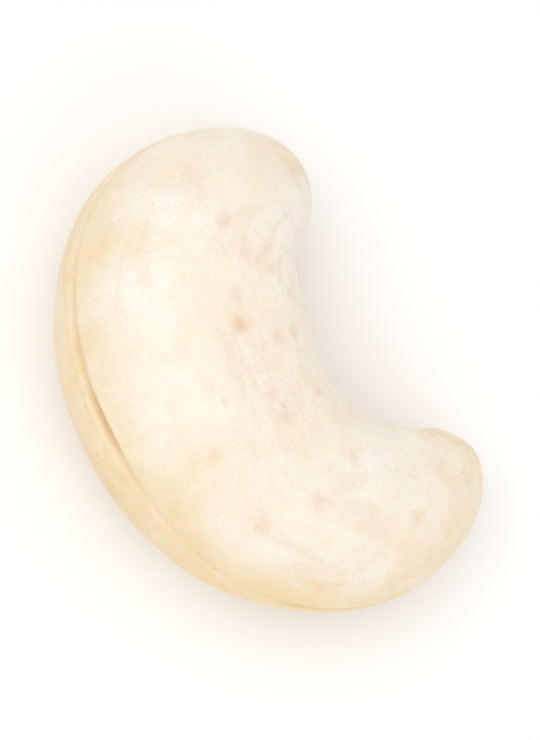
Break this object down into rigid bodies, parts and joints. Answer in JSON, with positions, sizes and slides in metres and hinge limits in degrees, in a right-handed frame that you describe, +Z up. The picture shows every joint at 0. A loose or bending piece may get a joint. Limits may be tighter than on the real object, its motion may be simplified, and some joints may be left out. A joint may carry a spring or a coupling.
{
  "type": "cashew nut",
  "caption": "Whole cashew kernel lying on its flank: a pale, kidney-shaped seed with a fat lobe, a slim lobe, a fine seam round it and a creased mouth.",
  "frame": {"origin": "on the surface that the kernel lies on, under the middle of its box", "axes": "+X along its length towards the fat lobe, +Y out of the back of the bend, -Y out of its mouth, +Z up"},
  "size_m": [0.025, 0.0174, 0.0118],
  "materials": {
    "kernel_skin": "satin"
  },
  "bodies": {
    "root": {"kernel": "kernel_skin"}
  },
  "joints": []
}
